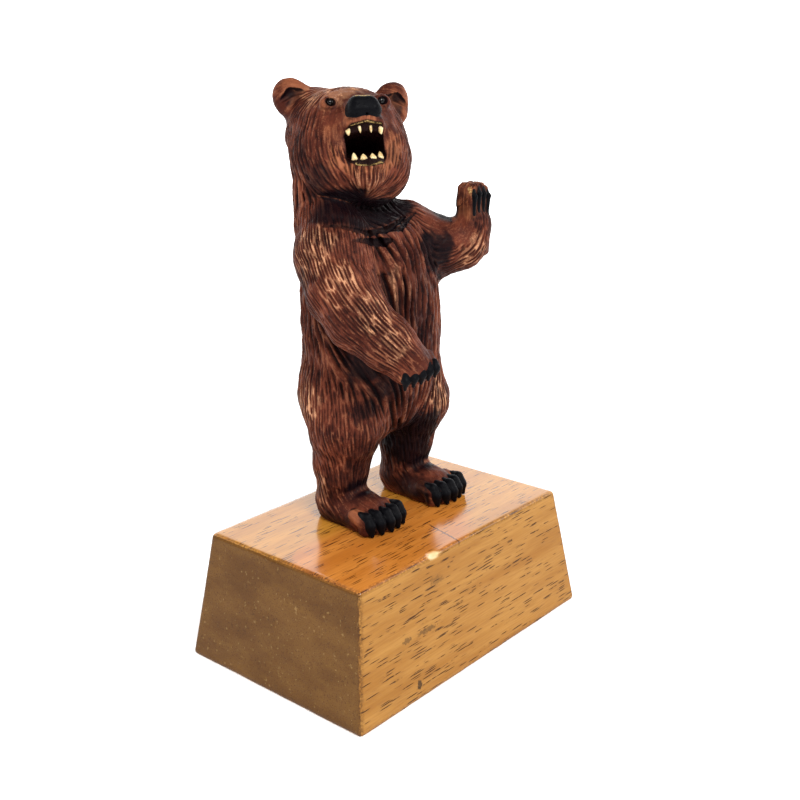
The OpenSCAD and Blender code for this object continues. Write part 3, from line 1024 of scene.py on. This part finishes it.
def steel(name, stretch):
    n = Nodes(name)
    lines = n.noise(n.place(stretch), 3.0, 3)
    return n.surface(Base_Color=n.mix(lines, rgb(150, 148, 142), rgb(196, 194, 188)), Metallic=1.0,
                     Roughness=n.span(lines, 0.3, 0.7, 0.28, 0.45))


# ---------- the plinth ----------

def chips(p):
    """The chip out of the front top edge, in two bites."""
    return np.minimum(ellipsoid(p, [-16.4, -33.6, TOP + 0.4], [3.0, 2.0, 1.6]),
                      ellipsoid(p, [-13.2, -33.9, TOP + 0.3], [1.8, 1.2, 1.0]))


def block(p):
    """The tapered block: each point's distance from its surface, and how near an edge it is."""
    lean = (FOOT_HALF - TOP_HALF) / TOP
    z = p[:, 2]
    half = FOOT_HALF - z[:, None] * lean
    q = np.stack([(np.abs(p[:, 0]) - half[:, 0]) / math.hypot(1, lean[0]),
                  (np.abs(p[:, 1]) - half[:, 1]) / math.hypot(1, lean[1]),
                  np.abs(z - TOP / 2) - TOP / 2], 1)
    wear = EDGE_R + 0.1 * waves(p, 22, 31) + 0.06 * waves(p, 7, 32)      # the edges are unevenly worn
    q = q + wear[:, None]
    d = length(np.maximum(q, 0)) + np.minimum(q.max(1), 0) - wear
    from_edge = wear - np.sort(q, 1)[:, 1]
    return np.maximum(d, -chips(p)), from_edge


def build_plinth():
    low = np.array(PLINTH_LOW) / MM - 2 * PLINTH_CELL
    high = np.array(PLINTH_HIGH) / MM + 2 * PLINTH_CELL
    n = np.ceil((high - low) / PLINTH_CELL).astype(int) + 1
    values = block(grid_points(low, n, PLINTH_CELL))[0].reshape(n)
    p, quads = surface_quads(values, low, PLINTH_CELL)
    for _ in range(3):
        p = p - gradient(lambda at: block(at)[0], p, 0.1) * block(p)[0][:, None]
    obj = make_mesh("plinth_visual", p * MM, quads)
    set_values(obj.data, {"chip": 1 - smoothstep(chips(p), 0.0, 0.4),
                          "edge": 1 - smoothstep(block(p)[1], 0.4, 1.6)})
    return obj


# ---------- eyes and teeth ----------

def ring_faces(rings, around, flip=False):
    """Faces of a closed shape made of a first point, rings of points and a last point."""
    last = (rings - 1) * around + 1
    faces = [(0, 1 + (j + 1) % around, 1 + j) for j in range(around)]
    for i in range(rings - 2):
        a, b = 1 + i * around, 1 + (i + 1) * around
        faces += [(a + j, a + (j + 1) % around, b + (j + 1) % around, b + j) for j in range(around)]
    a = 1 + (rings - 2) * around
    faces += [(a + j, a + (j + 1) % around, last) for j in range(around)]
    return [f[::-1] for f in faces] if flip else faces


def ball(name, r, rings=20, around=28):
    points = [(0, 0, -r)]
    for i in range(1, rings):
        t = math.pi * i / rings
        for j in range(around):
            u = 2 * math.pi * j / around
            points.append((r * math.sin(t) * math.cos(u), r * math.sin(t) * math.sin(u), -r * math.cos(t)))
    points.append((0, 0, r))
    return make_mesh(name, np.array(points), ring_faces(rings, around))


def build_eye(side_name):
    node = side_name + "_eye_bead"
    low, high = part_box(node)
    r = (high.z - low.z) / 2
    eye = ball(side_name + "_eye_visual", r)
    eye.location = (low + high) / 2
    eye.rotation_euler = (math.radians(70), 0, -HEAD_TURN)
    eye.data.materials.append(GLASS)
    finish_piece(eye, node)


def finish_piece(obj, node):
    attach(obj, "root")
    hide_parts(node)


# In the head's frame: x, y, z of the root and of the tip, half widths along x and y.
TEETH = {"upper_canine": (5.1, -15.7, -1.0, -3.8, 1.0, 1.0),
         "upper_incisor": (1.7, -16.8, -1.0, -3.6, 0.55, 0.6),
         "lower_canine": (4.1, -14.3, -11.2, -8.5, 1.0, 1.0),
         "lower_incisor": (1.45, -15.0, -11.4, -9.3, 1.2, 0.9)}


def build_tooth(side, name):
    """A small carved peg, widest at the gum and rounded at its tip."""
    jaw, kind = name.split("_")
    node = f"{jaw}_{'right' if side == RIGHT else 'left'}_{kind}"
    x, y, root, tip, half_x, half_y = TEETH[name]
    rings, around = 14, 20
    points = [(0, 0, 0)]
    for i in range(1, rings):
        t = i / rings
        wide = min(1.0, 6 * t) ** 0.5 * (1 - t ** 1.8) ** 0.75
        points += [(wide * math.cos(2 * math.pi * j / around), wide * math.sin(2 * math.pi * j / around), t)
                   for j in range(around)]
    points.append((0, 0, 1))
    shape = np.array(points) * [half_x, half_y, tip - root] + [side * x, y, root]
    shape = (from_head(shape) + [0, 0, TOP]) * MM
    tooth = make_mesh(node + "_visual", shape, ring_faces(rings, around, tip < root))
    tooth.data.materials.append(BONE)
    finish_piece(tooth, node)


# ---------- putting it together ----------

GLASS, BONE = black_glass(), tooth_bone()
bear_piece = build_bear()
bear_piece.data.materials.append(stained_wood())
finish_piece(bear_piece, "bear_carving")
plinth_piece = build_plinth()
plinth_piece.data.materials.append(plinth_wood())
finish_piece(plinth_piece, "plinth")
for side_name in ("right", "left"):
    build_eye(side_name)
for side in (RIGHT, LEFT):
    for tooth_name in TEETH:
        build_tooth(side, tooth_name)
STEELS = {"_eye_shank": steel("wire", (1, 1, 0.1)), "_leg_screw": steel("screw_steel", (0.1, 1, 1))}
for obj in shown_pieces():
    for ending, metal in STEELS.items():
        if obj.name.endswith(ending):
            obj.data.materials.clear()
            obj.data.materials.append(metal)


# ---------- floor, light and camera ----------

MIDDLE_Z = 0.09                                  # half the object's height


def build_floor():
    size = 3.0
    points = [(-size, -size, 0), (size, -size, 0), (size, size, 0), (-size, size, 0)]
    floor = make_mesh("floor", np.array(points), [(0, 1, 2, 3)], smooth=False)
    n = Nodes("floor")
    floor.data.materials.append(n.surface(Base_Color=(0.97, 0.97, 0.97, 1), Roughness=0.7,
                                         Emission_Color=(1, 1, 1, 1), Emission_Strength=0.25))


def build_backdrop():
    """A glowing curved screen behind the block, which also gives its varnish something to reflect."""
    radius, height, middle, spread, steps = 0.95, 0.8, math.radians(41.4), math.radians(80), 32
    points, faces = [], []
    for i in range(steps + 1):
        a = middle + spread * (2 * i / steps - 1)
        points += [(radius * math.cos(a), radius * math.sin(a), z) for z in (-0.01, height)]
    for i in range(steps):
        faces.append((2 * i, 2 * i + 1, 2 * i + 3, 2 * i + 2))
    screen = make_mesh("backdrop", np.array(points), faces)
    n = Nodes("backdrop")
    glow = n.add("Emission", Strength=2.3)
    n.put(n.out.inputs["Surface"], glow.outputs[0])
    screen.data.materials.append(n.material)


def add_light(name, place, size, power):
    """A soft square light aimed at the middle of the object."""
    data = bpy.data.lights.new(name, "AREA")
    data.size = size
    data.energy = power
    light = bpy.data.objects.new(name, data)
    bpy.context.collection.objects.link(light)
    light.location = place
    light.rotation_euler = (Vector((0, 0, MIDDLE_Z)) - Vector(place)).to_track_quat("-Z", "Y").to_euler()


def build_world():
    world = bpy.data.worlds.new("studio")
    bpy.context.scene.world = world
    world.use_nodes = True
    sky = world.node_tree.nodes["Background"]
    sky.inputs["Color"].default_value = (1, 1, 1, 1)
    sky.inputs["Strength"].default_value = 0.25


def build_camera():
    """The viewpoint the proportions were worked out from."""
    azimuth, elevation, roll = (math.radians(v) for v in (-48.58, 17.79, -0.92))
    distance, aside, above = 0.3971, 0.0029, 0.0785
    back = Vector((math.sin(azimuth) * math.cos(elevation), -math.cos(azimuth) * math.cos(elevation),
                   math.sin(elevation)))
    right = (-back).cross(Vector((0, 0, 1))).normalized()
    up = right.cross(-back)
    across = right * math.cos(roll) + up * math.sin(roll)
    upward = up * math.cos(roll) - right * math.sin(roll)
    data = bpy.data.cameras.new("camera")
    data.sensor_width = 36.0
    data.lens = 51.03
    camera = bpy.data.objects.new("camera", data)
    bpy.context.collection.objects.link(camera)
    place = back * distance + across * aside + upward * above
    turn = Matrix((across, upward, back)).transposed().to_4x4()
    camera.matrix_world = Matrix.Translation(place) @ turn
    data.clip_start = 0.01
    bpy.context.scene.camera = camera


bpy.context.scene.view_settings.view_transform = "Standard"
build_floor()
build_backdrop()
build_world()
add_light("key", (-0.30, -0.62, 0.80), 0.35, 8.5)
add_light("fill", (0.45, -0.60, 0.45), 0.5, 1.2)
add_light("left", (-0.80, 0.10, 0.45), 0.5, 2.2)
build_camera()
